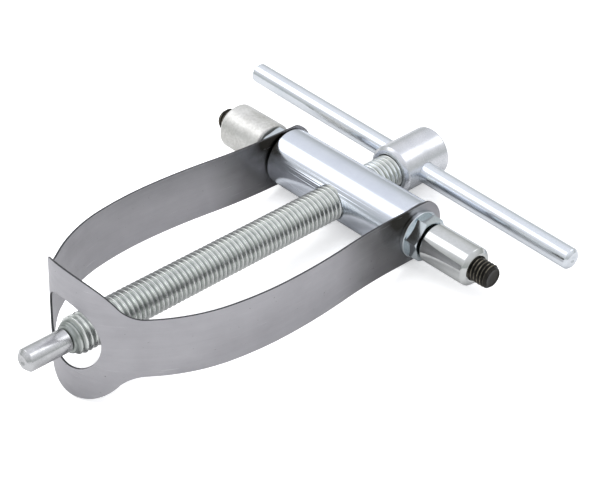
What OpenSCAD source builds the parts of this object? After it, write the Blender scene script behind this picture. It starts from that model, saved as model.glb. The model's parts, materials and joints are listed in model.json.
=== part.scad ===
// Strap-type piston-pin puller, in millimetres.
// The origin is on the spindle's axis at the shoulder of the nose pin. +Y runs along the spindle to the
// T-handle, +X runs along the crossbar to the small driver, and +Z is up, across the width of the strap.

/* [Crossbar] */
// Diameter of the crossbar
crossbar_d = 20; // [19:0.5:24]
// Length of the crossbar between the two strap tabs
crossbar_l = 59; // [56:0.5:64]
// Distance from the shoulder of the nose pin to the crossbar's axis
reach = 114.5; // [105:0.5:125]
// Chamfer on the ends of the crossbar
crossbar_chamfer = 0.8; // [0.2:0.1:1.5]

/* [Strap] */
// Width of the strap's two arms
strap_w = 20.2; // [19:0.1:23]
// Thickness of the spring-steel strip
strap_t = 0.7; // [0.5:0.1:1.2]
// Distance from the crossbar's axis to the outside of the bow
bow_reach = 114.6; // [110:0.2:120]
// Radius of the two round lobes above and below the eye
lobe_r = 22.2; // [20:0.1:25]
// Radius of the fillets between the lobes and the arms
lobe_fillet_r = 11; // [6:0.2:14]
// Diameter of the eye in the bow
eye_d = 23.6; // [22:0.1:27]
// Mid-line radius of each shoulder, next to the bow
shoulder_r = 55.5; // [54:0.5:58]
// Mid-line radius of the flank at the widest part of each arm
flank_r = 117; // [105:1:120]
// Mid-line radius of the two shallow bends that bring each arm back to its tab
waist_r = 222; // [200:1:230]
// Radius of each tab's round end, about the crossbar's axis
tab_end_r = 10.9; // [10:0.1:11.5]
// Upward tilt of the strap about the crossbar's axis, in degrees
strap_tilt = 1.4; // [0:0.05:2.5]

/* [Spindle] */
// Major diameter of the spindle's thread
thread_d = 12; // [11:0.5:12.5]
// Pitch of the spindle's thread
thread_pitch = 1.75; // [1.25:0.25:2]
// Depth of the spindle's end inside the head
head_seat = 17.6; // [12:0.2:20]
// Diameter of the nose pin
nose_d = 7.3; // [6.5:0.1:8]
// Length of the nose pin in front of its shoulder
nose_l = 15.3; // [10:0.1:20]
// Diameter of the nose pin's hidden shank
shank_d = 4.9; // [4.5:0.1:5.2]
// Length of the nose pin's hidden shank
shank_l = 12; // [10:0.5:16]

/* [T-handle] */
// Diameter of the head on the spindle
head_d = 17.3; // [16:0.1:20]
// Length of the head
head_l = 21; // [16:0.5:24]
// Length of bare thread between the crossbar and the head
handle_gap = 8.4; // [8:0.2:20]
// Distance from the front of the head to the tommy bar's axis
tommy_set = 9.4; // [5.5:0.1:12]
// Diameter of the tommy bar
tommy_d = 7.2; // [6:0.1:7.5]
// Length of the tommy bar
tommy_l = 146; // [120:1:180]
// How far the middle of the tommy bar sits from the spindle's axis, along +X
tommy_offset = -2; // [-20:0.5:20]
// How far the handle is turned at rest, in degrees, the +X end down
handle_turn = 1.5; // [-10:0.5:10]

/* [Studs, nuts and washers] */
// Diameter of the two studs
stud_d = 8; // [7.5:0.1:8]
// Length of each stud
stud_l = 50; // [46:1:52]
// How far the right stud stands out, from the middle of the crossbar
right_stud_out = 62.1; // [60:0.1:64]
// How far the left stud stands out, from the middle of the crossbar
left_stud_out = 61.3; // [60:0.1:64]
// Outer diameter of the washers
washer_d = 16; // [15:0.5:17]
// Thickness of the washers
washer_t = 1.6; // [1:0.1:2]
// Width of the nuts across their flats
nut_af = 13; // [12:0.5:13]
// Height of the nuts
nut_h = 4.5; // [4:0.1:5]
// How far the nuts are turned, in degrees
nut_turn = 18; // [0:1:60]

/* [Drivers] */
// Diameter of the small driver, on the right stud
small_driver_d = 13; // [12:0.5:15]
// Length of the small driver
small_driver_l = 18.7; // [16:0.1:20]
// Chamfer on the small driver's outer end
small_driver_chamfer = 1.3; // [0.5:0.1:1.5]
// Diameter of the large driver, on the left stud
large_driver_d = 16; // [15:0.5:19]
// Length of the large driver
large_driver_l = 19.6; // [16:0.1:20]
// Chamfer on the large driver's outer end
large_driver_chamfer = 1.8; // [0.5:0.1:2.5]
// Gap between each nut and its driver
driver_gap = 0.6; // [0.2:0.1:1]

/* [Hidden] */
$fn = 64;
// Radial clearance where one piece turns or slides in another
running = 0.05;
cut = 0.1;
thread_depth = 0.6134 * thread_pitch;
head_front = reach + crossbar_d / 2 + handle_gap;
spindle_end_gap = 0.1;
spindle_l = head_front + head_seat - spindle_end_gap;
tommy_y = head_front + tommy_set;
head_chamfer = 1.1;
tommy_chamfer = 1;
centre_mark_r = 1.2;
nose_chamfer = 1.3;
shank_chamfer = 0.4;
// The wire ring that keeps the nose pin's shank in the spindle
ring_y = 6;
ring_t = 0.8;
ring_groove_w = 1;
ring_inner_r = shank_d / 2 - 0.45;
ring_outer_r = shank_d / 2 + 0.35;
// Stack on each end of the crossbar, outwards: tab, washer, nut, driver
washer_x = crossbar_l / 2 + strap_t;
nut_x = washer_x + washer_t;
driver_x = nut_x + nut_h + driver_gap;
stud_chamfer = 1;
washer_hole_r = stud_d / 2 + 0.2;
driver_inner_chamfer = 0.6;
driver_sink = 0.3;
nut_corner_r = nut_af / 2 / cos(30);
nut_bevel = 0.8;
// Turns of the strap's plan curve, as headings in degrees from the middle of the bow
bow_turn = 45;
shoulder_turn = 80;
waist_turn = 96.5;
tab_x = crossbar_l / 2 + strap_t / 2;
bow_x = tab_x - shoulder_r * (sin(shoulder_turn) - sin(bow_turn)) - flank_r * (1 - sin(shoulder_turn))
    + 2 * waist_r * (1 - sin(waist_turn));
bow_r = bow_x / sin(bow_turn);
bow_arc = bow_r * bow_turn * PI / 180;
// Tangent points of the lobe fillets, as lengths along the strip from the middle of the bow
fillet_s = sqrt(pow(lobe_r + lobe_fillet_r, 2) - pow(strap_w / 2 + lobe_fillet_r, 2));
fillet_turn = atan2(fillet_s, strap_w / 2 + lobe_fillet_r);

// ---- Shared shapes ----

// A round bar from z = 0 to z = l, with 45-degree chamfers of c0 and c1 on its ends
module bar(d, l, c0, c1) {
    r = d / 2;
    rotate_extrude()
        polygon([[0, 0], [r - c0, 0], [r, c0], [r, l - c1], [r - c1, l], [0, l]]);
}

// Lays a shape that stands on +Z along +X, from x
module along_x(x = 0) {
    translate([x, 0, 0])
        rotate([0, 90, 0])
            children();
}

// Lays a shape that stands on +Z along +Y, from y
module along_y(y = 0) {
    translate([0, y, 0])
        rotate([-90, 0, 0])
            children();
}

// A cone that widens from r at depth to r + depth at the surface, pointing up
module sink(r, depth) {
    cylinder(r1 = r, r2 = r + depth + cut, h = depth + cut);
}

module at_crossbar() {
    translate([0, reach, 0])
        children();
}

// ---- Crossbar and its end hardware ----

module crossbar() {
    bore_r = thread_d / 2 + running;
    color("lightsteelblue")
        at_crossbar()
            difference() {
                along_x(-crossbar_l / 2)
                    bar(crossbar_d, crossbar_l, crossbar_chamfer, crossbar_chamfer);
                along_y(-crossbar_d)
                    cylinder(r = bore_r, h = 2 * crossbar_d);
                for (side = [0, 180])
                    rotate([0, 0, side])
                        along_y(crossbar_d / 2 - thread_depth)
                            sink(bore_r, thread_depth);
                along_x(right_stud_out - stud_l)
                    cylinder(d = stud_d, h = stud_l);
                mirror([1, 0, 0])
                    along_x(left_stud_out - stud_l)
                        cylinder(d = stud_d, h = stud_l);
            }
}

module washer() {
    at_crossbar()
        along_x(washer_x)
            difference() {
                bar(washer_d, washer_t, 0.2, 0.2);
                translate([0, 0, -cut])
                    cylinder(r = washer_hole_r, h = washer_t + 2 * cut);
            }
}

module nut() {
    at_crossbar()
        along_x(nut_x)
            difference() {
                intersection() {
                    rotate([0, 0, nut_turn])
                        cylinder(r = nut_corner_r, h = nut_h, $fn = 6);
                    bar(2 * nut_corner_r + 0.4, nut_h, nut_bevel, nut_bevel);
                }
                translate([0, 0, -cut])
                    cylinder(d = stud_d, h = nut_h + 2 * cut);
            }
}

module stud(out) {
    at_crossbar()
        along_x(out - stud_l)
            bar(stud_d, stud_l, stud_chamfer, stud_chamfer);
}

module driver(d, l, chamfer) {
    bore_r = stud_d / 2 + running;
    at_crossbar()
        along_x(driver_x)
            difference() {
                bar(d, l, driver_inner_chamfer, chamfer);
                translate([0, 0, -cut])
                    cylinder(r = bore_r, h = l + 2 * cut);
                translate([0, 0, l - driver_sink])
                    sink(bore_r, driver_sink);
            }
}

module right_washer() {
    color("gainsboro") washer();
}

module left_washer() {
    color("gainsboro") mirror([1, 0, 0]) washer();
}

module right_nut() {
    color("silver") nut();
}

module left_nut() {
    color("silver") mirror([1, 0, 0]) nut();
}

module right_stud() {
    color("dimgray") stud(right_stud_out);
}

module left_stud() {
    color("dimgray") mirror([1, 0, 0]) stud(left_stud_out);
}

module small_driver() {
    color("whitesmoke") driver(small_driver_d, small_driver_l, small_driver_chamfer);
}

module large_driver() {
    color("antiquewhite") mirror([1, 0, 0]) driver(large_driver_d, large_driver_l, large_driver_chamfer);
}

// ---- Strap ----

// Points of one arc as [x, y, heading], from p to heading h1 with radius r, which is negative when the
// heading falls
function arc(p, h1, r, n) = [for (i = [1:n])
    let (h = p[2] + (h1 - p[2]) * i / n)
        [p[0] + r * (sin(h) - sin(p[2])), p[1] + r * (cos(p[2]) - cos(h)), h]];

function last(list) = list[len(list) - 1];

// Mid-line of half the strap in plan, from the middle of the bow to the end of its tab
bow_start = [0, strap_t / 2 - bow_reach, 0];
bow_line = arc(bow_start, bow_turn, bow_r, 8);
shoulder_line = arc(last(bow_line), shoulder_turn, shoulder_r, 6);
flank_line = arc(last(shoulder_line), 90, flank_r, 3);
out_waist_line = arc(last(flank_line), waist_turn, waist_r, 3);
in_waist_line = arc(last(out_waist_line), 90, -waist_r, 3);
half_line = concat([bow_start], bow_line, shoulder_line, flank_line, out_waist_line, in_waist_line,
    [[tab_x, strap_w, 90]]);

// One face of the half strap, offset from the mid-line, outwards when gap is positive
function face(gap) = [for (p = half_line) [p[0] + gap * sin(p[2]), p[1] - gap * cos(p[2])]];

function reversed(list) = [for (i = [len(list) - 1:-1:0]) list[i]];

// Where a length s along the strip from the middle of the bow lies in x
function strip_x(s) = s < bow_arc
    ? bow_r * sin(s / bow_r * 180 / PI)
    : bow_x + shoulder_r * (sin(bow_turn + (s - bow_arc) / shoulder_r * 180 / PI) - sin(bow_turn));

// Upper edge of half the strap, as [x, z]: the lobe, its fillet, then the straight arm
lobe_edge = [for (i = [0:10])
    let (a = fillet_turn * i / 10)
        [strip_x(lobe_r * sin(a)), lobe_r * cos(a)]];
fillet_edge = [for (i = [1:8])
    let (a = fillet_turn * (1 - i / 8))
        [strip_x(fillet_s - lobe_fillet_r * sin(a)), strap_w / 2 + lobe_fillet_r * (1 - cos(a))]];
upper_edge = concat(lobe_edge, fillet_edge, [[2 * tab_x, strap_w / 2]]);

module half_plan() {
    translate([0, 0, -lobe_r - 1])
        linear_extrude(2 * lobe_r + 2)
            polygon(concat(face(strap_t / 2), reversed(face(-strap_t / 2))));
}

module half_front() {
    rotate([90, 0, 0])
        linear_extrude(2 * bow_reach, center = true)
            polygon(concat([[0, 0]], upper_edge, [[2 * tab_x, 0]]));
}

// The round end of each tab, and everything in front of the crossbar's axis
module side_limit() {
    along_x(-2 * tab_x)
        cylinder(r = tab_end_r, h = 4 * tab_x);
    translate([-2 * tab_x, -bow_reach - 1, -lobe_r - 1])
        cube([4 * tab_x, bow_reach + 1, 2 * lobe_r + 2]);
}

module strap() {
    color("slategray")
        at_crossbar()
            rotate([-strap_tilt, 0, 0])
                difference() {
                    intersection() {
                        union() {
                            half_plan();
                            mirror([1, 0, 0]) half_plan();
                        }
                        union()
                            for (left = [0, 1], under = [0, 1])
                                mirror([left, 0, 0])
                                    mirror([0, 0, under])
                                        half_front();
                        side_limit();
                    }
                    along_y(-bow_reach - 1)
                        cylinder(d = eye_d, h = bow_reach / 2);
                    along_x(-2 * tab_x)
                        cylinder(r = washer_hole_r, h = 4 * tab_x);
                }
}

// ---- Spindle, head and T-handle ----

module cross_hole() {
    translate([0, tommy_y, 0])
        along_x(-head_d)
            cylinder(r = tommy_d / 2 + running, h = 2 * head_d);
}

module turned() {
    rotate([0, handle_turn, 0])
        children();
}

module spindle() {
    seat_r = shank_d / 2 + running;
    color("lightgray")
        turned()
            difference() {
                along_y(spindle_end_gap)
                    bar(thread_d, spindle_l, thread_depth, 0.5);
                along_y(-cut)
                    cylinder(r = seat_r, h = shank_l + 1);
                along_y(ring_y - ring_groove_w / 2)
                    cylinder(r = ring_outer_r + 2 * running, h = ring_groove_w);
                cross_hole();
            }
}

module spindle_head() {
    color("lightgray")
        turned()
            difference() {
                along_y(head_front)
                    bar(head_d, head_l, head_chamfer, head_chamfer);
                along_y(head_front - cut)
                    cylinder(d = thread_d, h = head_seat + cut);
                cross_hole();
            }
}

module tommy_bar() {
    color("ghostwhite")
        turned()
            translate([tommy_offset, tommy_y, 0])
                difference() {
                    along_x(-tommy_l / 2)
                        bar(tommy_d, tommy_l, tommy_chamfer, tommy_chamfer);
                    for (end = [0, 180])
                        rotate([0, end, 0])
                            along_x(tommy_l / 2 - centre_mark_r)
                                sink(0, centre_mark_r);
                }
}

module nose_pin() {
    groove_y = ring_y - ring_t / 2;
    color("lightgray")
        difference() {
            union() {
                along_y(-nose_l)
                    bar(nose_d, nose_l, nose_chamfer, 0);
                along_y(-cut)
                    bar(shank_d, shank_l + cut, 0, shank_chamfer);
            }
            along_y(groove_y)
                difference() {
                    cylinder(d = nose_d, h = ring_t);
                    translate([0, 0, -cut])
                        cylinder(r = ring_inner_r, h = ring_t + 2 * cut);
                }
            rotate([0, 0, 180])
                along_y(nose_l - centre_mark_r)
                    sink(0, centre_mark_r);
        }
}

module pin_retaining_ring() {
    color("goldenrod")
        along_y(ring_y - ring_t / 2)
            difference() {
                cylinder(r = ring_outer_r, h = ring_t);
                translate([0, 0, -cut])
                    cylinder(r = ring_inner_r, h = ring_t + 2 * cut);
            }
}

crossbar();
strap();
right_washer();
left_washer();
right_nut();
left_nut();
right_stud();
left_stud();
small_driver();
large_driver();
spindle();
spindle_head();
tommy_bar();
nose_pin();
pin_retaining_ring();
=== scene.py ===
# A strap-type piston-pin puller, lying on a pale table, in metres and in the frame of its CAD model:
# +Y along the spindle to the T-handle, +X along the crossbar to the small driver, +Z up.
import json
from math import asin, atan2, ceil, cos, pi, radians, sin, sqrt

import bmesh
import bpy
from mathutils import Matrix, Vector


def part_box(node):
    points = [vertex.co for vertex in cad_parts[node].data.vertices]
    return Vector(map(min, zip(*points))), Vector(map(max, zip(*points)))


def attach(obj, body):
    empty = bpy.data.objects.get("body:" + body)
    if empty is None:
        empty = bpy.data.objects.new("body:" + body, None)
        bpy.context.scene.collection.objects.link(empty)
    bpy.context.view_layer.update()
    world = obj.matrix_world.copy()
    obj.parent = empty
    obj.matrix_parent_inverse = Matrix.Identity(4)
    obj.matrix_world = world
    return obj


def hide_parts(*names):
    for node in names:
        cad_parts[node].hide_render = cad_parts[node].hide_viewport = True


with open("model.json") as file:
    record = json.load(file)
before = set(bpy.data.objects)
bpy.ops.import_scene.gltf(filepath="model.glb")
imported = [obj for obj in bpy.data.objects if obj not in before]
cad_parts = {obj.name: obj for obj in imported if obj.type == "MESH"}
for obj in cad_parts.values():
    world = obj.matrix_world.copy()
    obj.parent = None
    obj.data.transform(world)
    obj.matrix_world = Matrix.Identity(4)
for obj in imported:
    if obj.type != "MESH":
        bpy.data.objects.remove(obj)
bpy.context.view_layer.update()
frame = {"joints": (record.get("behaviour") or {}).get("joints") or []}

MM = 0.001


# ---- What the frame says ----

def extent(node, axis):
    """Lowest and highest value of a CAD node along axis 0, 1 or 2."""
    low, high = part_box(node)
    return low[axis], high[axis]


def round_radius(node, axis=2):
    """Radius of a round CAD node, measured across along axis."""
    low, high = extent(node, axis)
    return (high - low) / 2


def joint_axis(name):
    """A joint's axis as a unit vector."""
    for joint in frame["joints"]:
        if joint["name"] == name:
            return Vector(joint["axis"]).normalized()
    raise KeyError(name)


CROSSBAR_Y = sum(extent("crossbar", 1)) / 2
CROSSBAR_R = round_radius("crossbar")
CROSSBAR_HALF = extent("crossbar", 0)[1]
THREAD_R = round_radius("spindle", 0)
THREAD_PITCH = 1.75 * MM
STUD_R = round_radius("right_stud")
STUD_PITCH = 1.25 * MM
STUD_HOLE_R = STUD_R + 0.2 * MM
TOMMY_AXIS = joint_axis("tommy_slide")
# Gap on the radius between a shaft and the bore that it runs in
RUNNING = 0.05 * MM

# Each places a shape that was made along +Z: along +X or -X at the crossbar, or along +Y on the
# spindle's axis
ALONG_X = Matrix.Translation((0, CROSSBAR_Y, 0)) @ Matrix.Rotation(pi / 2, 4, "Y")
ALONG_MINUS_X = Matrix.Translation((0, CROSSBAR_Y, 0)) @ Matrix.Rotation(-pi / 2, 4, "Y")
ALONG_Y = Matrix.Rotation(-pi / 2, 4, "X")
# The handle is turned a little about the spindle, so the tommy bar's +X end is low
TURNED = Matrix.Rotation(atan2(-TOMMY_AXIS.z, TOMMY_AXIS.x), 4, "Y")


# ---- Mesh tools ----

def finish_mesh(bm, name, place=Matrix.Identity(4)):
    """Turns a bmesh into a shown object whose vertices are in the row frame."""
    bmesh.ops.recalc_face_normals(bm, faces=bm.faces)
    mesh = bpy.data.meshes.new(name)
    bm.to_mesh(mesh)
    bm.free()
    mesh.transform(place)
    if place.determinant() < 0:
        mesh.flip_normals()
    for face in mesh.polygons:
        face.use_smooth = True
    piece = bpy.data.objects.new(name, mesh)
    bpy.context.scene.collection.objects.link(piece)
    return piece


def soften(points, radius, ring=False, steps=3):
    """Rounds the corners of a profile with short arcs, so that its edges catch the light."""
    points = [Vector(p) for p in points]
    count = len(points)
    rounded = []
    for i, corner in enumerate(points):
        if not ring and i in (0, count - 1):
            rounded.append(corner)
            continue
        back = points[i - 1] - corner
        ahead = points[(i + 1) % count] - corner
        reach = min(radius, 0.45 * back.length, 0.45 * ahead.length)
        start = corner + back.normalized() * reach
        end = corner + ahead.normalized() * reach
        for k in range(steps + 1):
            t = k / steps
            rounded.append(start * (1 - t) ** 2 + corner * 2 * t * (1 - t) + end * t ** 2)
    return rounded


def revolve(profile, ring=False, steps=96):
    """Turns (along, radius) points about Z. A ring's last point joins its first, as round a bore."""
    bm = bmesh.new()
    rows = []
    for along, r in profile:
        if r < 1e-6:
            rows.append([bm.verts.new((0, 0, along))])
            continue
        angles = [2 * pi * i / steps for i in range(steps)]
        rows.append([bm.verts.new((r * cos(a), r * sin(a), along)) for a in angles])
    pairs = list(zip(rows, rows[1:]))
    if ring:
        pairs.append((rows[-1], rows[0]))
    for low, high in pairs:
        for i in range(steps):
            j = (i + 1) % steps
            corners = [low[i % len(low)], low[j % len(low)], high[j % len(high)], high[i % len(high)]]
            corners = list(dict.fromkeys(corners))
            if len(corners) > 2:
                bm.faces.new(corners)
    return bm


# One pitch of a metric thread, from crest to crest, as (share of the pitch, share of the depth): a cut
# thread with sharp crests, and a rolled one with rounder crests and roots
SHARP_FORM = [(0.0, 0.0), (0.03, 0.03), (0.25, 0.47), (0.42, 0.93),
              (0.5, 1.0), (0.58, 0.93), (0.75, 0.47), (0.97, 0.03)]
ROLLED_FORM = [(0.0, 0.0), (0.055, 0.02), (0.09, 0.09), (0.235, 0.5), (0.36, 0.9), (0.43, 0.985),
               (0.5, 1.0), (0.57, 0.985), (0.64, 0.9), (0.765, 0.5), (0.91, 0.09), (0.945, 0.02)]
# Depth of a metric external thread as a share of its pitch
THREAD_DEPTH = 0.6134
# How far a chamfered end still shows its thread, as a share of the thread's depth
CHAMFER_THREAD = 0.7


def thread(major_r, pitch, start, end, chamfer_start, chamfer_end, lead=1.0, profile=ROLLED_FORM,
           steps=56):
    """A right-hand thread about Z, open at both ends.

    The crests run down by chamfer_start and chamfer_end at the ends, the first with slope lead.
    """
    depth = THREAD_DEPTH * pitch
    form = len(profile)
    turns = ceil((end - start) / pitch) + 4
    bm = bmesh.new()
    grid = []
    for q in range(turns * form):
        share, drop = profile[q % form]
        row = []
        for j in range(steps):
            along = start + (q // form - 2 + share + j / steps) * pitch
            along = min(max(along, start), end)
            from_start = along - start
            from_end = end - along
            limit = min(major_r - chamfer_start + from_start * lead, major_r - chamfer_end + from_end)
            fade = min(1.0, min(from_start, from_end) / pitch)
            r = min(major_r - drop * depth, limit - CHAMFER_THREAD * drop * depth * fade)
            angle = 2 * pi * j / steps
            row.append(bm.verts.new((r * cos(angle), r * sin(angle), along)))
        grid.append(row)
    for q in range(len(grid) - 1):
        for j in range(steps):
            if j + 1 < steps:
                bm.faces.new((grid[q][j], grid[q][j + 1], grid[q + 1][j + 1], grid[q + 1][j]))
            elif q + 1 + form < len(grid):
                bm.faces.new((grid[q][j], grid[q + form][0], grid[q + form + 1][0], grid[q + 1][j]))
    bmesh.ops.remove_doubles(bm, verts=bm.verts, dist=0.002 * MM)
    return bm


def open_rings(bm):
    """The two open ends of a thread, each as its loop of edges, the lower one first."""
    edges = [e for e in bm.edges if e.is_boundary]
    middle = sum(e.verts[0].co.z for e in edges) / len(edges)
    return [e for e in edges if e.verts[0].co.z < middle], [e for e in edges if e.verts[0].co.z > middle]


def extend(bm, edges, stations):
    """Carries an open ring on through (along, radius) stations, and closes it where the radius is 0."""
    for along, r in stations:
        if r == 0:
            tip = bm.verts.new((0, 0, along))
            for edge in edges:
                bm.faces.new((edge.verts[0], edge.verts[1], tip))
            return
        made = bmesh.ops.extrude_edge_only(bm, edges=edges)["geom"]
        for vert in (g for g in made if isinstance(g, bmesh.types.BMVert)):
            flat = Vector((vert.co.x, vert.co.y, 0)).normalized() * r
            vert.co = (flat.x, flat.y, along)
        edges = [g for g in made if isinstance(g, bmesh.types.BMEdge)]


def apply_modifiers(piece):
    """Bakes a piece's modifiers into its mesh."""
    graph = bpy.context.evaluated_depsgraph_get()
    graph.update()
    mesh = bpy.data.meshes.new_from_object(piece.evaluated_get(graph))
    piece.modifiers.clear()
    piece.data = mesh


def combine(piece, cutters, operation="DIFFERENCE"):
    """Cuts the cutters from the piece, or keeps what they share, and removes them."""
    for cutter in cutters:
        step = piece.modifiers.new("cut", "BOOLEAN")
        step.operation = operation
        step.solver = "EXACT"
        step.object = cutter
    apply_modifiers(piece)
    for cutter in cutters:
        bpy.data.objects.remove(cutter)
    for face in piece.data.polygons:
        face.use_smooth = True


def bevel(piece, width, angle=35, segments=2):
    """Rounds the edges where two faces meet at more than angle degrees."""
    step = piece.modifiers.new("bevel", "BEVEL")
    step.width = width
    step.segments = segments
    step.limit_method = "ANGLE"
    step.angle_limit = radians(angle)
    step.harden_normals = False
    apply_modifiers(piece)


def mark_sharp(piece, angle):
    """Keeps the shading apart where two faces meet at more than angle degrees."""
    bm = bmesh.new()
    bm.from_mesh(piece.data)
    for edge in bm.edges:
        edge.smooth = len(edge.link_faces) == 2 and edge.calc_face_angle() < radians(angle)
    bm.to_mesh(piece.data)
    bm.free()


def even_normals(piece):
    """Flat and cylindrical faces keep their own shading right up to their rounded edges."""
    step = piece.modifiers.new("normals", "WEIGHTED_NORMAL")
    step.keep_sharp = True
    step.weight = 80


# ---- Strap ----

# Thickness, half of the width, and the bow's outer face, measured from the crossbar's axis
STRAP_T = 0.7 * MM
STRAP_HALF = 10.1 * MM
BOW_OUT = 114.6 * MM
# The round lobe above and below the eye, and the fillet from it into the arm's edge
LOBE_R = 22.2 * MM
FILLET_R = 11 * MM
EYE_R = 11.8 * MM
# The arm's arcs in plan, and the heading at which each ends
SHOULDER_R = 55.5 * MM
FLANK_R = 117 * MM
WAIST_R = 222 * MM
BOW_TURN = radians(45)
SHOULDER_TURN = radians(80)
WAIST_TURN = radians(96.5)
# The strap is turned a little about the crossbar's axis, so the bow is a little high
STRAP_TILT = radians(1.4)
TAB_END_R = 10.9 * MM
STRAP_EDGE = 0.12 * MM
TAB_X = CROSSBAR_HALF + STRAP_T / 2
BOW_X = (TAB_X - SHOULDER_R * (sin(SHOULDER_TURN) - sin(BOW_TURN)) - FLANK_R * (1 - sin(SHOULDER_TURN))
         + 2 * WAIST_R * (1 - sin(WAIST_TURN)))
BOW_R = BOW_X / sin(BOW_TURN)
# The strap's plan curve from the middle of the bow, as (radius, heading at the arc's end)
STRAP_ARCS = [(BOW_R, BOW_TURN), (SHOULDER_R, SHOULDER_TURN), (FLANK_R, pi / 2), (WAIST_R, WAIST_TURN),
              (-WAIST_R, pi / 2)]


def strap_point(s):
    """(x, y, heading) of the strap's mid-line, at length s from the middle of the bow on the +X side.

    Here y is measured from the crossbar's axis.
    """
    x, y, heading = 0.0, STRAP_T / 2 - BOW_OUT, 0.0
    left = abs(s)
    for r, turn in STRAP_ARCS:
        full = (turn - heading) * r
        step = min(left, full)
        new = heading + step / r
        x += r * (sin(new) - sin(heading))
        y += r * (cos(heading) - cos(new))
        heading = new
        left -= step
        if left <= 0:
            return x, y, heading
    return x, y + left, heading


def strap_length():
    """Length of half the mid-line, from the middle of the bow to the stud's axis."""
    arcs = 0.0
    heading = 0.0
    for r, turn in STRAP_ARCS:
        arcs += (turn - heading) * r
        heading = turn
    return arcs - strap_point(arcs)[1]


def lobe_outline(count):
    """Upper edge of the bow in the flat strip, as (s, z), from the arm's edge up over the lobe's top."""
    fillet_s = sqrt((LOBE_R + FILLET_R) ** 2 - (STRAP_HALF + FILLET_R) ** 2)
    turn = atan2(fillet_s, STRAP_HALF + FILLET_R)
    points = []
    for i in range(count):
        a = turn * i / count
        points.append((fillet_s - FILLET_R * sin(a), STRAP_HALF + FILLET_R * (1 - cos(a))))
    for i in range(2 * count + 1):
        a = turn * (1 - i / (2 * count))
        points.append((LOBE_R * sin(a), LOBE_R * cos(a)))
    return points


# The bow patch ends this far along the strip from the middle of the bow
BOW_PATCH = 31 * MM
BOW_RINGS = 9
# Rings of the bow patch are closer together near the eye
BOW_RING_GROWTH = 1.15
# Faces across an arm and along it, and the tab patch's reach from the stud's axis towards the bow
ARM_ROWS = 8
ARM_STEPS = 64
TAB_PATCH = 9.5 * MM
TAB_RINGS = 4
TAB_ARC_STEPS = 40
ARM_HEIGHTS = [STRAP_HALF * (2 * i / ARM_ROWS - 1) for i in range(ARM_ROWS + 1)]


def bow_boundary():
    """The bow patch's outline in the flat strip, once round from the middle of its +s side."""
    top = [(BOW_PATCH - 2 * MM, STRAP_HALF)] + lobe_outline(12)
    right = [(BOW_PATCH, z) for z in ARM_HEIGHTS[ARM_ROWS // 2:]]
    quarter = right + top
    left = [(-s, z) for s, z in reversed(quarter[:-1])]
    half = quarter + left
    return half + [(s, -z) for s, z in reversed(half[1:-1])]


class FlatStrip:
    """The strap's middle surface laid out flat, as (s along the strip, z across it)."""

    def __init__(self):
        self.bm = bmesh.new()
        self.found = {}

    def vert(self, s, z):
        """The vertex at (s, z), which is shared by all the faces that meet there."""
        key = (round(s / MM, 4), round(z / MM, 4))
        if key not in self.found:
            self.found[key] = self.bm.verts.new((s, z, 0))
        return self.found[key]

    def face(self, corners):
        corners = list(dict.fromkeys(corners))
        if len(corners) > 2:
            self.bm.faces.new(corners)

    def rings(self, hole, outline, count, growth=1.0):
        """Fills the space between a hole and an outline, whose points match one to one, with rings."""
        loops = []
        for ring in range(count + 1):
            t = (ring / count) ** growth
            loops.append([self.vert(s0 + (s1 - s0) * t, z0 + (z1 - z0) * t)
                          for (s0, z0), (s1, z1) in zip(hole, outline)])
        for low, high in zip(loops, loops[1:]):
            for i in range(len(outline)):
                j = (i + 1) % len(outline)
                self.face((low[i], low[j], high[j], high[i]))


def bow_patch(strip):
    """The bow with its eye. The eye is round once the strip is bent, so it is longer here."""
    eye_s = BOW_R * asin(EYE_R / BOW_R)
    outline = bow_boundary()
    angles = [atan2(z, s) for s, z in outline]
    hole = [(eye_s * cos(a), EYE_R * sin(a)) for a in angles]
    strip.rings(hole, outline, BOW_RINGS, BOW_RING_GROWTH)


def arm_patch(strip, side, arm_end):
    """One arm, from the bow patch to the tab patch."""
    stations = [BOW_PATCH + (arm_end - BOW_PATCH) * i / ARM_STEPS for i in range(ARM_STEPS + 1)]
    for s0, s1 in zip(stations, stations[1:]):
        for z0, z1 in zip(ARM_HEIGHTS, ARM_HEIGHTS[1:]):
            corners = ((s0, z0), (s1, z0), (s1, z1), (s0, z1))
            strip.face([strip.vert(side * s, z) for s, z in corners])


def tab_patch(strip, side, arm_end, stud_s):
    """The round end of one arm, with its stud hole."""
    outline = [(arm_end, z) for z in ARM_HEIGHTS]
    start = atan2(STRAP_HALF, arm_end - stud_s)
    for i in range(1, TAB_ARC_STEPS):
        a = start * (1 - 2 * i / TAB_ARC_STEPS)
        r = STRAP_HALF / max(sin(abs(a)), 1e-6)
        if abs(a) < pi / 2:
            r = min(TAB_END_R, r)
        outline.append((stud_s + r * cos(a), r * sin(a)))
    angles = [atan2(z, s - stud_s) for s, z in outline]
    hole = [(stud_s + STUD_HOLE_R * cos(a), STUD_HOLE_R * sin(a)) for a in angles]
    strip.rings([(side * s, z) for s, z in hole], [(side * s, z) for s, z in outline], TAB_RINGS)


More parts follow.
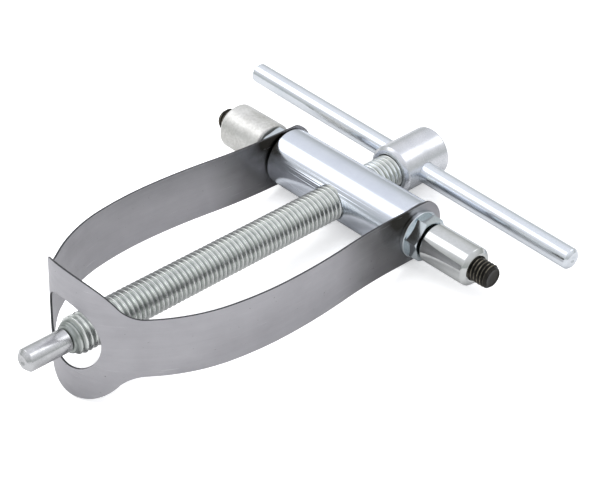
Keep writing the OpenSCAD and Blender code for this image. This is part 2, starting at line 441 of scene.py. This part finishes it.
def build_strap():
    """The bent strip: a patch round the eye, two arms and two round tabs, made flat and then bent."""
    strip = FlatStrip()
    bm = strip.bm
    strip_uv = bm.loops.layers.uv.new("strip")
    cut_uv = bm.loops.layers.uv.new("cut_edge")
    bow_patch(strip)
    stud_s = strap_length()
    arm_end = stud_s - TAB_PATCH
    for side in (1, -1):
        arm_patch(strip, side, arm_end)
        tab_patch(strip, side, arm_end, stud_s)

    bmesh.ops.recalc_face_normals(bm, faces=bm.faces)
    if bm.faces[:][0].normal.z < 0:
        bmesh.ops.reverse_faces(bm, faces=bm.faces)
    solid = bmesh.ops.extrude_face_region(bm, geom=bm.faces[:])["geom"]
    lifted = {g for g in solid if isinstance(g, bmesh.types.BMVert)}
    for vert in lifted:
        vert.co.z = STRAP_T
    bm.normal_update()
    for face in bm.faces:
        cut = 1.0 if abs(face.normal.z) < 0.5 else 0.0
        for loop in face.loops:
            loop[strip_uv].uv = (loop.vert.co.x, loop.vert.co.y)
            loop[cut_uv].uv = (cut, cut)
    bend_strip(bm, lifted)
    at_crossbar = Matrix.Translation((0, CROSSBAR_Y, 0)) @ Matrix.Rotation(-STRAP_TILT, 4, "X")
    strap = finish_mesh(bm, "strap_band", at_crossbar)
    bevel(strap, STRAP_EDGE, angle=50)
    even_normals(strap)
    return strap


def bend_strip(bm, lifted):
    """Moves a flat strip's vertices (s, z) on to the strap's curve, the lifted ones to its outside."""
    for vert in bm.verts:
        s, z = vert.co.x, vert.co.y
        x, y, heading = strap_point(s)
        gap = STRAP_T / 2 if vert in lifted else -STRAP_T / 2
        x += gap * sin(heading)
        y -= gap * cos(heading)
        vert.co = (x if s >= 0 else -x, y, z)


# ---- Turned pieces ----

def build_crossbar():
    """The round bar, with a countersunk cross bore for the spindle and a stud hole in each end."""
    chamfer = 0.8 * MM
    stud_hole_depth = 16 * MM
    past = 2 * MM
    stud_hole_past = 1 * MM
    half = CROSSBAR_HALF
    profile = soften([(-half, 0), (-half, CROSSBAR_R - chamfer), (-half + chamfer, CROSSBAR_R),
                      (half - chamfer, CROSSBAR_R), (half, CROSSBAR_R - chamfer), (half, 0)], 0.25 * MM)
    piece = finish_mesh(revolve(profile, steps=160), "crossbar_bar", ALONG_X)
    bore_r = THREAD_R + RUNNING
    sink = THREAD_DEPTH * THREAD_PITCH
    mouth_r = bore_r + sink + past
    far = CROSSBAR_R + past
    drill = revolve([(-far, 0), (-far, mouth_r), (-CROSSBAR_R + sink, bore_r),
                     (CROSSBAR_R - sink, bore_r), (far, mouth_r), (far, 0)], steps=96)
    cutters = [finish_mesh(drill, "drill", Matrix.Translation((0, CROSSBAR_Y, 0)) @ ALONG_Y)]
    for name, place in (("right", ALONG_X), ("left", ALONG_MINUS_X)):
        bottom = half - stud_hole_depth
        top = half + stud_hole_past
        stud_hole = revolve([(bottom, 0), (bottom, STUD_R), (top, STUD_R), (top, 0)], steps=64)
        cutters.append(finish_mesh(stud_hole, name, place))
    combine(piece, cutters)
    bevel(piece, 0.12 * MM, angle=30)
    even_normals(piece)
    return piece


def build_washer(name, node, place):
    """A plain washer with the rounded edge of a stamping."""
    low, high = stack_span(node)
    r = round_radius(node)
    corners = [(low, STUD_HOLE_R), (low, r), (high, r), (high, STUD_HOLE_R)]
    profile = soften(corners, 0.28 * MM, ring=True, steps=4)
    piece = finish_mesh(revolve(profile, ring=True), name, place)
    even_normals(piece)
    return piece


def stack_span(node):
    """Inner and outer distance of a piece of end hardware from the middle of the crossbar."""
    low, high = extent(node, 0)
    return min(abs(low), abs(high)), max(abs(low), abs(high))


# The nuts as they happen to be turned, and their width across the flats
NUT_TURN = radians(18)
NUT_FLATS = 13 * MM


def build_nut(name, node, place):
    """A thin hexagon nut: a six-sided prism, turned to a cone at both faces and countersunk."""
    low, high = stack_span(node)
    corner_r = NUT_FLATS / 2 / cos(pi / 6)
    prism = revolve([(low, 0), (low, corner_r), (high, corner_r), (high, 0)], steps=6)
    nut = finish_mesh(prism, name, place @ Matrix.Rotation(NUT_TURN, 4, "Z"))
    round_r = corner_r + 0.2 * MM
    cone_in = 0.8 * MM
    cone_along = 0.4 * MM
    face_r = round_r - cone_in
    cone = revolve([(low, 0), (low, face_r), (low + cone_along, round_r), (high - cone_along, round_r),
                    (high, face_r), (high, 0)], steps=128)
    combine(nut, [finish_mesh(cone, name + "_cone", place)], "INTERSECT")
    sink = 0.7 * MM
    past = 1 * MM
    mouth_r = STUD_R + sink + past
    hole = revolve([(low - past, 0), (low - past, mouth_r), (low + sink, STUD_R), (high - sink, STUD_R),
                    (high + past, mouth_r), (high + past, 0)], steps=64)
    combine(nut, [finish_mesh(hole, name + "_hole", place)])
    mark_sharp(nut, 18)
    even_normals(nut)
    return nut


def build_stud(name, node, place):
    """The stud: plain inside the crossbar, then threaded out to its chamfered end."""
    low, high = stack_span(node)
    threaded = CROSSBAR_HALF - 3 * MM
    depth = THREAD_DEPTH * STUD_PITCH
    major_r = STUD_R - 0.05 * MM
    bm = thread(major_r, STUD_PITCH, threaded, high, depth, depth * 1.2, profile=SHARP_FORM, steps=48)
    inner, outer = open_rings(bm)
    core_r = STUD_R - 2 * depth
    extend(bm, inner, [(threaded, core_r), (low, core_r), (low, 0)])
    face_r = STUD_R - depth * 1.3
    face = high - 0.02 * MM
    extend(bm, outer, [(face, face_r), (face, face_r * 0.5), (face, 0)])
    return finish_mesh(bm, name, place)


def build_driver(name, node, place, chamfer):
    """A turned sleeve on its stud, with a broad chamfer at its working end."""
    low, high = stack_span(node)
    r = round_radius(node)
    bore_r = STUD_R + RUNNING
    inner_chamfer = 0.6 * MM
    sink = 0.3 * MM
    corners = [(low, bore_r + sink), (low, r - inner_chamfer), (low + inner_chamfer, r),
               (high - chamfer, r), (high, r - chamfer), (high, bore_r + sink), (high - sink, bore_r),
               (low + sink, bore_r)]
    profile = soften(corners, 0.22 * MM, ring=True)
    piece = finish_mesh(revolve(profile, ring=True, steps=128), name, place)
    even_normals(piece)
    return piece


def build_spindle():
    """The threaded rod, plain where it is seated in the head, with the tommy bar's cross hole."""
    low, high = extent("spindle", 1)
    threaded_end = extent("spindle_head", 1)[0] + 1.2 * MM
    depth = THREAD_DEPTH * THREAD_PITCH
    bm = thread(THREAD_R, THREAD_PITCH, low, threaded_end, depth * 1.5, depth, lead=0.6)
    front, back = open_rings(bm)
    seat_r = 2.5 * MM
    seat_end = low + 13 * MM
    extend(bm, front, [(low, seat_r), (seat_end, seat_r), (seat_end, 0)])
    plain_r = THREAD_R - 0.02 * MM
    extend(bm, back, [(threaded_end, plain_r), (high, plain_r), (high, 0)])
    piece = finish_mesh(bm, "spindle_rod", TURNED @ ALONG_Y)
    combine(piece, [cross_drill()])
    return piece


def cross_drill():
    """The tommy bar's hole, as a cutter that reaches through the head."""
    reach = 2 * round_radius("spindle_head", 0)
    r = round_radius("tommy_bar", 1) + RUNNING
    bm = revolve([(-reach, 0), (-reach, r), (reach, r), (reach, 0)], steps=96)
    return finish_mesh(bm, "cross_drill", tommy_place())


def tommy_place():
    """Places a shape made along +Z on the tommy bar's axis."""
    tommy_y = sum(extent("tommy_bar", 1)) / 2
    return TURNED @ Matrix.Translation((0, tommy_y, 0)) @ Matrix.Rotation(pi / 2, 4, "Y")


def build_head():
    """The round head that the spindle is seated in, cross-drilled for the tommy bar."""
    low, high = extent("spindle_head", 1)
    r = round_radius("spindle_head", 0)
    chamfer = 1.1 * MM
    sink = 0.3 * MM
    seat_end = extent("spindle", 1)[1]
    corners = [(high, 0), (high, r - chamfer), (high - chamfer, r), (low + chamfer, r),
               (low, r - chamfer), (low, THREAD_R + sink), (low + sink, THREAD_R),
               (seat_end, THREAD_R), (seat_end, 0)]
    profile = soften(corners, 0.35 * MM, steps=4)
    piece = finish_mesh(revolve(profile, steps=128), "handle_head", TURNED @ ALONG_Y)
    combine(piece, [cross_drill()])
    bevel(piece, 0.2 * MM, angle=38, segments=3)
    even_normals(piece)
    return piece


# Depth and radius of the lathe's centre marks in the ends of the turned pins
CENTRE_MARK = 1.2 * MM


def build_tommy():
    """The plain sliding bar, with chamfered ends and centre marks.

    The bar is turned, so its box reaches past the ends of its axis by the ends' own slant.
    """
    low, high = extent("tommy_bar", 0)
    r = round_radius("tommy_bar", 1)
    chamfer = 1 * MM
    slant = (r - chamfer) * abs(TOMMY_AXIS.z)
    start = (low + slant) / TOMMY_AXIS.x
    end = (high - slant) / TOMMY_AXIS.x
    corners = [(start + CENTRE_MARK, 0), (start, CENTRE_MARK), (start, r - chamfer),
               (start + chamfer, r), (end - chamfer, r), (end, r - chamfer), (end, CENTRE_MARK),
               (end - CENTRE_MARK, 0)]
    profile = soften(corners, 0.25 * MM)
    piece = finish_mesh(revolve(profile, steps=96), "tommy_rod", tommy_place())
    even_normals(piece)
    return piece


def build_nose():
    """The nose pin: its plain front, its shoulder at y = 0, and a grooved shank in the spindle."""
    low, high = extent("nose_pin", 1)
    r = round_radius("nose_pin", 0)
    chamfer = 1.3 * MM
    shoulder_chamfer = 0.25 * MM
    shank_r = 2.45 * MM
    groove_r = 2.0 * MM
    groove_start = 5.6 * MM
    groove_end = 6.4 * MM
    corners = [(low + CENTRE_MARK, 0), (low, CENTRE_MARK), (low, r - chamfer), (low + chamfer, r),
               (-shoulder_chamfer, r), (0, r - shoulder_chamfer), (0, shank_r),
               (groove_start, shank_r), (groove_start, groove_r), (groove_end, groove_r),
               (groove_end, shank_r), (high, shank_r), (high, 0)]
    profile = soften(corners, 0.2 * MM)
    piece = finish_mesh(revolve(profile, steps=96), "nose_pin_turned", ALONG_Y)
    even_normals(piece)
    return piece


def build_ring():
    """The hidden wire ring in the nose pin's groove."""
    low, high = extent("pin_retaining_ring", 1)
    wire_r = (high - low) / 2
    centre = (low + high) / 2
    centre_r = round_radius("pin_retaining_ring", 0) - wire_r
    steps = 20
    angles = [2 * pi * i / steps for i in range(steps)]
    points = [(centre + wire_r * cos(a), centre_r + wire_r * sin(a)) for a in angles]
    return finish_mesh(revolve(points, ring=True, steps=64), "wire_ring", ALONG_Y)


# ---- Materials ----

def fill_ramp(ramp, stops):
    """Sets a colour ramp to (place, colour) stops, where a grey may be one number."""
    while len(ramp.elements) < len(stops):
        ramp.elements.new(0.5)
    for element, (place, colour) in zip(ramp.elements, stops):
        element.position = place
        element.color = (*colour, 1) if isinstance(colour, tuple) else (colour, colour, colour, 1)


class Nodes:
    """A short way to build a material's node tree around one Principled shader."""

    def __init__(self, name):
        self.material = bpy.data.materials.new(name)
        self.material.use_nodes = True
        self.tree = self.material.node_tree
        self.shader = self.tree.nodes["Principled BSDF"]

    def add(self, kind, inputs=(), **settings):
        node = self.tree.nodes.new(kind)
        for key, value in settings.items():
            setattr(node, key, value)
        for key, value in dict(inputs).items():
            if isinstance(value, bpy.types.NodeSocket):
                self.tree.links.new(value, node.inputs[key])
            else:
                node.inputs[key].default_value = value
        return node

    def set(self, key, value):
        if isinstance(value, bpy.types.NodeSocket):
            self.tree.links.new(value, self.shader.inputs[key])
        else:
            self.shader.inputs[key].default_value = value

    def object_coords(self, scale=(1, 1, 1), shift=(0, 0, 0)):
        coords = self.add("ShaderNodeTexCoord").outputs["Object"]
        inputs = {"Vector": coords, "Scale": scale, "Location": shift}
        return self.add("ShaderNodeMapping", inputs).outputs[0]

    def strip_coords(self, scale):
        strip = self.add("ShaderNodeUVMap", uv_map="strip")
        return self.add("ShaderNodeMapping", {"Vector": strip.outputs[0], "Scale": scale}).outputs[0]

    def noise(self, vector, scale=1.0, detail=4.0, rough=0.55, distortion=0.0):
        inputs = {"Vector": vector, "Scale": scale, "Detail": detail, "Roughness": rough,
                  "Distortion": distortion}
        return self.add("ShaderNodeTexNoise", inputs).outputs["Fac"]

    def ramp(self, value, stops):
        node = self.add("ShaderNodeValToRGB", {"Fac": value})
        fill_ramp(node.color_ramp, stops)
        return node.outputs["Color"]

    def range(self, value, low, high, to_low, to_high):
        inputs = {"Value": value, "From Min": low, "From Max": high, "To Min": to_low,
                  "To Max": to_high}
        return self.add("ShaderNodeMapRange", inputs).outputs[0]

    def mix(self, factor, a, b):
        node = self.add("ShaderNodeMix", data_type="RGBA")
        for index, value in ((0, factor), (6, a), (7, b)):
            if isinstance(value, bpy.types.NodeSocket):
                self.tree.links.new(value, node.inputs[index])
            elif index == 0:
                node.inputs[index].default_value = value
            else:
                node.inputs[index].default_value = (*value, 1)
        return node.outputs[2]

    def math(self, operation, a, b=0.0):
        node = self.add("ShaderNodeMath", operation=operation)
        for index, value in enumerate((a, b)):
            if isinstance(value, bpy.types.NodeSocket):
                self.tree.links.new(value, node.inputs[index])
            else:
                node.inputs[index].default_value = value
        return node.outputs[0]

    def bump(self, height, strength, distance=0.02 * MM):
        inputs = {"Height": height, "Strength": strength, "Distance": distance}
        return self.add("ShaderNodeBump", inputs).outputs["Normal"]

    def part(self, vector, axis):
        """One coordinate of a vector."""
        return self.add("ShaderNodeSeparateXYZ", {0: vector}).outputs[axis]


def plated(name, light, dark, rough, cloud=90.0, rings_along=None, relief=0.12, metallic=1.0,
           shaded_end=None):
    """Bright metal: soft clouds of two tints, a gloss between the two rough values, and fine relief.

    rings_along is the axis, 0 to 2, that lathe rings follow. From just short of the end given along X, on
    both sides, the metal is painted dark: painted shade in the gap between the bar's ends and the strap.
    shaded_end along X, on both sides.
    """
    shade_starts = 0.9 * MM
    shade_full = 0.5 * MM
    painted_shade_colour = (0.03, 0.03, 0.03)
    n = Nodes(name)
    here = n.object_coords()
    clouds = n.noise(here, cloud, 5.0, 0.6)
    fine = n.noise(here, cloud * 14, 3.0, 0.6)
    mixed = n.math("ADD", n.math("MULTIPLY", clouds, 0.7), n.math("MULTIPLY", fine, 0.3))
    base = n.ramp(mixed, [(0.32, dark), (0.66, light)])
    # Painted shade near both ends of the bar along X, in the gap against the strap
    if shaded_end is not None:
        along = n.math("ABSOLUTE", n.part(here, 0))
        end_shade = n.range(along, shaded_end - shade_starts, shaded_end - shade_full, 0.0, 0.93)
        base = n.mix(end_shade, base, painted_shade_colour)
    n.set("Base Color", base)
    n.set("Metallic", metallic)
    n.set("Roughness", n.range(mixed, 0.3, 0.7, rough[1], rough[0]))
    height = fine
    if rings_along is not None:
        scale = [30.0, 30.0, 30.0]
        scale[rings_along] = 5200.0
        rings = n.noise(n.object_coords(tuple(scale)), 1.0, 3.0, 0.7)
        height = n.math("ADD", n.math("MULTIPLY", fine, 0.3), rings)
    n.set("Normal", n.bump(height, relief))
    return n.material


def zinc_thread(name):
    """The spindle's plated thread: duller in the roots and painted grey there as painted shade, bright on
    the worn crests.
    """
    n = Nodes(name)
    depth = THREAD_DEPTH * THREAD_PITCH
    from_axis = n.object_coords((1, 0, 1))
    away = n.add("ShaderNodeVectorMath", {0: from_axis}, operation="LENGTH").outputs["Value"]
    clouds = n.noise(n.object_coords(), 260.0, 5.0, 0.65)
    crest = n.range(away, THREAD_R - depth, THREAD_R, 0.0, 1.0)
    crest_and_clouds = n.math("ADD", n.math("MULTIPLY", crest, 0.75), n.math("MULTIPLY", clouds, 0.45))
    # Grey in the roots is painted shade; the clouds give patches of wear
    n.set("Base Color", n.ramp(crest_and_clouds, [(0.15, (0.33, 0.36, 0.34)), (0.85, (0.95, 0.97, 0.94))]))
    n.set("Metallic", 1.0)
    n.set("Roughness", n.range(crest_and_clouds, 0.2, 0.95, 0.32, 0.18))
    n.set("Normal", n.bump(n.noise(n.object_coords(), 1800.0, 3.0, 0.6), 0.12))
    return n.material


def strap_painted_shade(n, base, cloudy):
    """Darkens the strap towards its tabs, most at their upper corners: painted shade, and painted
    reflection of the shaded table. Both end on the tab.
    """
    # Painted shade: the band's colour towards each tab and the colour at each tab's upper corner
    shade_band_colour = (0.04, 0.038, 0.032)
    shade_band_wander = 4 * MM
    corner_shade_colour = (0.03, 0.025, 0.018)
    corner_shade_wander = 1.5 * MM
    corner_dark_r = 4.5 * MM
    corner_edge_r = 11 * MM
    stud_s = strap_length()
    corner_shade_at = (stud_s - 8 * MM, 10 * MM, 0)
    strip = n.strip_coords((1.0, 1.0, 1.0))
    along = n.math("ABSOLUTE", n.part(strip, 0))
    wandering = n.math("ADD", along, n.range(cloudy, 0.3, 0.7, -shade_band_wander, shade_band_wander))
    tab_end_fade = n.range(wandering, stud_s - 5 * MM, stud_s - 1 * MM, 1.0, 0.1)
    shade_rising = n.range(wandering, stud_s - 35 * MM, stud_s - 18 * MM, 0.0, 0.5)
    base = n.mix(n.math("MULTIPLY", shade_rising, tab_end_fade), base, shade_band_colour)
    place = n.add("ShaderNodeCombineXYZ", {0: along, 1: n.part(strip, 1)}).outputs[0]
    to_corner = n.add("ShaderNodeVectorMath", {0: place, 1: corner_shade_at},
                      operation="DISTANCE").outputs["Value"]
    to_corner = n.math("ADD", to_corner, n.range(cloudy, 0.3, 0.7, -corner_shade_wander, corner_shade_wander))
    corner = n.range(to_corner, corner_dark_r, corner_edge_r, 0.97, 0.0)
    return n.mix(n.math("MULTIPLY", corner, tab_end_fade), base, corner_shade_colour)


def spring_strip(name):
    """Bare spring steel: fine brushing along the strip, painted shade towards the tabs, a few scratches
    and cut edges painted dark as painted shade.
    """
    n = Nodes(name)
    brush = n.noise(n.strip_coords((60.0, 7000.0, 1.0)), 1.0, 6.0, 0.75)
    broad = n.noise(n.strip_coords((10.0, 500.0, 1.0)), 1.0, 4.0, 0.6)
    cloudy = n.noise(n.object_coords((1.0, 1.0, 1.6)), 70.0, 5.0, 0.6)
    tone = n.math("ADD", n.math("MULTIPLY", brush, 0.3), n.math("MULTIPLY", broad, 0.2))
    tone = n.math("ADD", tone, n.math("MULTIPLY", cloudy, 0.5))
    base = n.ramp(tone, [(0.34, (0.475, 0.468, 0.49)), (0.5, (0.53, 0.523, 0.545)),
                         (0.68, (0.585, 0.578, 0.60))])
    lines = n.noise(n.strip_coords((70.0, 3600.0, 1.0)), 1.0, 2.0, 0.5, 1.4)
    scratches = n.ramp(lines, [(0.715, 0.0), (0.745, 1.0)])
    specks = n.ramp(n.noise(n.object_coords(), 900.0, 2.0, 0.5), [(0.735, 0.0), (0.77, 1.0)])
    # Painted shade towards the tabs and at their upper corners
    base = strap_painted_shade(n, base, cloudy)
    base = n.mix(n.math("MULTIPLY", scratches, 0.4), base, (0.95, 0.95, 0.96))
    base = n.mix(n.math("MULTIPLY", specks, 0.55), base, (0.12, 0.11, 0.11))
    # The cut edges are painted near black as painted shade
    cut = n.part(n.add("ShaderNodeUVMap", uv_map="cut_edge").outputs[0], 0)
    n.set("Base Color", n.mix(cut, base, (0.10, 0.10, 0.105)))
    n.set("Metallic", 1.0)
    n.set("Roughness", n.range(tone, 0.35, 0.65, 0.44, 0.34))
    n.set("Anisotropic", 0.3)
    n.set("Normal", n.bump(n.math("SUBTRACT", brush, n.math("MULTIPLY", scratches, 0.6)), 0.15))
    return n.material


def black_oxide(name):
    """The studs' blackened thread, rubbed to a brown grey along its crests."""
    n = Nodes(name)
    from_axis = n.object_coords((0, 1, 1), (0, -CROSSBAR_Y, 0))
    away = n.add("ShaderNodeVectorMath", {0: from_axis}, operation="LENGTH").outputs["Value"]
    clouds = n.noise(n.object_coords(), 420.0, 5.0, 0.65)
    crest = n.range(away, STUD_R - 0.42 * MM, STUD_R - 0.08 * MM, 0.0, 1.0)
    crest_and_clouds = n.math("MULTIPLY", crest, n.range(clouds, 0.38, 0.62, 0.35, 1.0))
    n.set("Base Color", n.ramp(crest_and_clouds, [(0.2, (0.028, 0.026, 0.023)), (0.5, (0.10, 0.092, 0.073)),
                                      (0.85, (0.32, 0.29, 0.225))]))
    n.set("Metallic", 0.85)
    n.set("Roughness", n.range(clouds, 0.3, 0.7, 0.42, 0.26))
    n.set("Specular IOR Level", 0.5)
    n.set("Normal", n.bump(clouds, 0.15))
    return n.material


MATERIALS = {
    # The crossbar is painted dark at both ends as painted shade
    "satin_plate": plated("satin_plate", (0.82, 0.865, 0.93), (0.74, 0.785, 0.865), (0.13, 0.22),
                          cloud=60.0, rings_along=0, relief=0.08, shaded_end=CROSSBAR_HALF),
    "bright_zinc": plated("bright_zinc", (0.90, 0.91, 0.94), (0.70, 0.72, 0.75), (0.18, 0.34),
                          cloud=150.0, relief=0.16),
    "tommy_zinc": plated("tommy_zinc", (0.92, 0.95, 0.99), (0.80, 0.85, 0.90), (0.14, 0.24),
                         cloud=80.0, relief=0.10),
    "fastener_zinc": plated("fastener_zinc", (0.80, 0.86, 0.89), (0.62, 0.68, 0.71), (0.10, 0.20),
                            cloud=120.0),
    "nose_zinc": plated("nose_zinc", (0.76, 0.765, 0.77), (0.56, 0.565, 0.57), (0.16, 0.28),
                        cloud=150.0),
    "polished_steel": plated("polished_steel", (0.74, 0.755, 0.745), (0.62, 0.635, 0.62), (0.06, 0.12),
                             cloud=70.0, rings_along=0, relief=0.10),
    "ground_steel": plated("ground_steel", (0.86, 0.855, 0.83), (0.46, 0.455, 0.42), (0.32, 0.48),
                           cloud=75.0, rings_along=0, relief=0.25, metallic=0.8),
    "spring_wire": plated("spring_wire", (0.40, 0.39, 0.38), (0.28, 0.27, 0.26), (0.30, 0.45)),
    "zinc_thread": zinc_thread("zinc_thread"),
    "spring_steel": spring_strip("spring_steel"),
    "black_oxide": black_oxide("black_oxide"),
}


# ---- Mount every piece on its body ----

def mount(piece, node, body, slot, finish=None):
    """Puts a piece in place of its CAD node, on its body, with its slot's material or its own finish."""
    piece.data.materials.clear()
    piece.data.materials.append(MATERIALS[finish or slot])
    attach(piece, body)
    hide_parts(node)


mount(build_crossbar(), "crossbar", "frame", "satin_plate")
mount(build_strap(), "strap", "frame", "spring_steel")
for side, place in (("right", ALONG_X), ("left", ALONG_MINUS_X)):
    mount(build_washer(side + "_plain_washer", side + "_washer", place), side + "_washer", "frame",
          "bright_zinc", "fastener_zinc")
    mount(build_nut(side + "_thin_nut", side + "_nut", place), side + "_nut", "frame",
          "bright_zinc", "fastener_zinc")
    mount(build_stud(side + "_threaded_stud", side + "_stud", place), side + "_stud", "frame",
          "black_oxide")
mount(build_driver("small_driver_turned", "small_driver", ALONG_X, 1.3 * MM), "small_driver",
      "small_driver", "polished_steel")
mount(build_driver("large_driver_turned", "large_driver", ALONG_MINUS_X, 1.8 * MM), "large_driver",
      "large_driver", "ground_steel")
mount(build_spindle(), "spindle", "spindle", "zinc_thread")
mount(build_head(), "spindle_head", "spindle", "bright_zinc")
mount(build_tommy(), "tommy_bar", "tommy_bar", "tommy_zinc")
mount(build_nose(), "nose_pin", "nose", "bright_zinc", "nose_zinc")
mount(build_ring(), "pin_retaining_ring", "nose", "spring_wire")


# ---- Camera ----

CAMERA_PLACE = (0.31097, -0.21267, 0.30384)
CAMERA_AZIMUTH = radians(45.524)
CAMERA_ELEVATION = radians(35.654)
CAMERA_ROLL = radians(1.834)
# Focal length and sensor width in mm
CAMERA_LENS = 100.1
CAMERA_SENSOR = 36


def look(azimuth, elevation, roll):
    """The camera's rotation: azimuth 0 looks along +Y, elevation is above the horizon."""
    back = Vector((sin(azimuth) * cos(elevation), -cos(azimuth) * cos(elevation), sin(elevation)))
    right = Vector((cos(azimuth), sin(azimuth), 0))
    up = back.cross(right)
    turned_right = right * cos(roll) + up * sin(roll)
    turned_up = back.cross(turned_right)
    return Matrix((turned_right, turned_up, back)).transposed().to_4x4()


camera = bpy.data.objects.new("camera", bpy.data.cameras.new("camera"))
bpy.context.scene.collection.objects.link(camera)
camera.matrix_world = (Matrix.Translation(CAMERA_PLACE)
                       @ look(CAMERA_AZIMUTH, CAMERA_ELEVATION, CAMERA_ROLL))
camera.data.lens = CAMERA_LENS
camera.data.sensor_width = CAMERA_SENSOR
camera.data.clip_start = 0.01
bpy.context.scene.camera = camera


# ---- Floor, light and surroundings ----

def table_sheet(name, place, albedo, glow, mirrored):
    """One sheet of the table. A mirrored one is seen only by the metal, the other only by all the rest."""
    half_size = 4.0
    bm = bmesh.new()
    bmesh.ops.create_grid(bm, x_segments=1, y_segments=1, size=half_size)
    sheet = finish_mesh(bm, name, place)
    n = Nodes(name)
    grain = n.noise(n.object_coords(), 40.0, 3.0, 0.5)
    n.set("Base Color", n.ramp(grain, [(0.3, albedo[0]), (0.7, albedo[1])]))
    n.set("Roughness", 0.65)
    n.set("Specular IOR Level", 0.2)
    n.set("Emission Color", (1, 1, 1, 1))
    n.set("Emission Strength", glow)
    sheet.data.materials.append(n.material)
    sheet.visible_glossy = mirrored
    sheet.visible_camera = not mirrored
    sheet.visible_diffuse = not mirrored
    sheet.visible_shadow = not mirrored


def pale_floor():
    """A pale table under the strap's lower lobe and the head, which carry the tool.

    The camera sees a bright sheet. The metal mirrors a second, greyer sheet just above it, which has
    the tool's shadow on it, as a table does under a light tent.
    """
    front_y = 1 * MM
    front_z = extent("strap", 2)[0]
    back_y = extent("spindle_head", 1)[1] - 1.1 * MM
    back_z = -round_radius("spindle_head", 0)
    slope = Matrix.Rotation(atan2(back_z - front_z, back_y - front_y), 4, "X")
    clear = 0.05 * MM
    between = 0.03 * MM
    bright_at = Matrix.Translation((0, front_y, front_z - clear - between)) @ slope
    grey_at = Matrix.Translation((0, front_y, front_z - clear)) @ slope
    table_sheet("table", bright_at, (0.90, 0.93), 0.45, mirrored=False)
    table_sheet("mirrored_table", grey_at, (0.56, 0.60), 0.0, mirrored=True)


def fill_light():
    """A soft square light over the tool's left. The metal doesn't show it."""
    place = Vector((-0.4, -0.2, 1.1))
    target = Vector((0, 0.07, 0))
    light = bpy.data.lights.new("fill", "AREA")
    light.size = 1.4
    light.energy = 14.0
    fill = bpy.data.objects.new("fill", light)
    fill.location = place
    fill.rotation_euler = (target - place).to_track_quat("-Z", "Y").to_euler()
    fill.visible_glossy = False
    bpy.context.scene.collection.objects.link(fill)


def direction(azimuth, elevation):
    """Unit vector into the studio, in degrees from +X towards +Y and up from the horizon."""
    a, e = radians(azimuth), radians(elevation)
    return (cos(a) * cos(e), sin(a) * cos(e), sin(e))


# What the metal mirrors: grey below, brighter upwards, as (sine of the elevation, colour)
STUDIO_LEVELS = [(-1.0, (0.40, 0.43, 0.42)), (-0.12, (0.42, 0.45, 0.44)), (0.0, (0.43, 0.46, 0.45)),
                 (0.14, (0.49, 0.51, 0.51)), (0.36, (0.62, 0.63, 0.64)), (0.57, (0.77, 0.78, 0.81)),
                 (0.8, (0.85, 0.86, 0.91)), (1.0, (0.87, 0.88, 0.94))]
# Soft boxes in the mirrored studio, as (azimuth, elevation, inner and outer half-width, radiance), the
# first four in degrees
SOFT_BOXES = [(-152, 46, 12, 20, 1.0), (62, 49, 9, 19, 0.9)]


def surroundings():
    """The studio round the tool: a grey that brightens upwards, with the soft boxes added."""
    world = bpy.data.worlds.new("studio")
    bpy.context.scene.world = world
    world.use_nodes = True
    tree = world.node_tree

    def node(kind, **settings):
        made = tree.nodes.new(kind)
        for key, value in settings.items():
            setattr(made, key, value)
        return made

    coords = node("ShaderNodeTexCoord").outputs["Generated"]
    split = node("ShaderNodeSeparateXYZ")
    tree.links.new(coords, split.inputs[0])
    height = node("ShaderNodeMapRange")
    tree.links.new(split.outputs["Z"], height.inputs["Value"])
    height.inputs["From Min"].default_value = -1
    levels = node("ShaderNodeValToRGB")
    tree.links.new(height.outputs[0], levels.inputs["Fac"])
    fill_ramp(levels.color_ramp, [((sine + 1) / 2, colour) for sine, colour in STUDIO_LEVELS])
    light = levels.outputs["Color"]
    for azimuth, elevation, inner, outer, radiance in SOFT_BOXES:
        facing = node("ShaderNodeVectorMath", operation="DOT_PRODUCT")
        tree.links.new(coords, facing.inputs[0])
        facing.inputs[1].default_value = direction(azimuth, elevation)
        edge = node("ShaderNodeMapRange", interpolation_type="SMOOTHSTEP")
        tree.links.new(facing.outputs["Value"], edge.inputs["Value"])
        edge.inputs["From Min"].default_value = cos(radians(outer))
        edge.inputs["From Max"].default_value = cos(radians(inner))
        edge.inputs["To Max"].default_value = radiance
        total = node("ShaderNodeVectorMath", operation="ADD")
        tree.links.new(light, total.inputs[0])
        tree.links.new(edge.outputs[0], total.inputs[1])
        light = total.outputs[0]
    tree.links.new(light, tree.nodes["Background"].inputs["Color"])


pale_floor()
surroundings()
fill_light()
bpy.context.scene.view_settings.view_transform = "Standard"
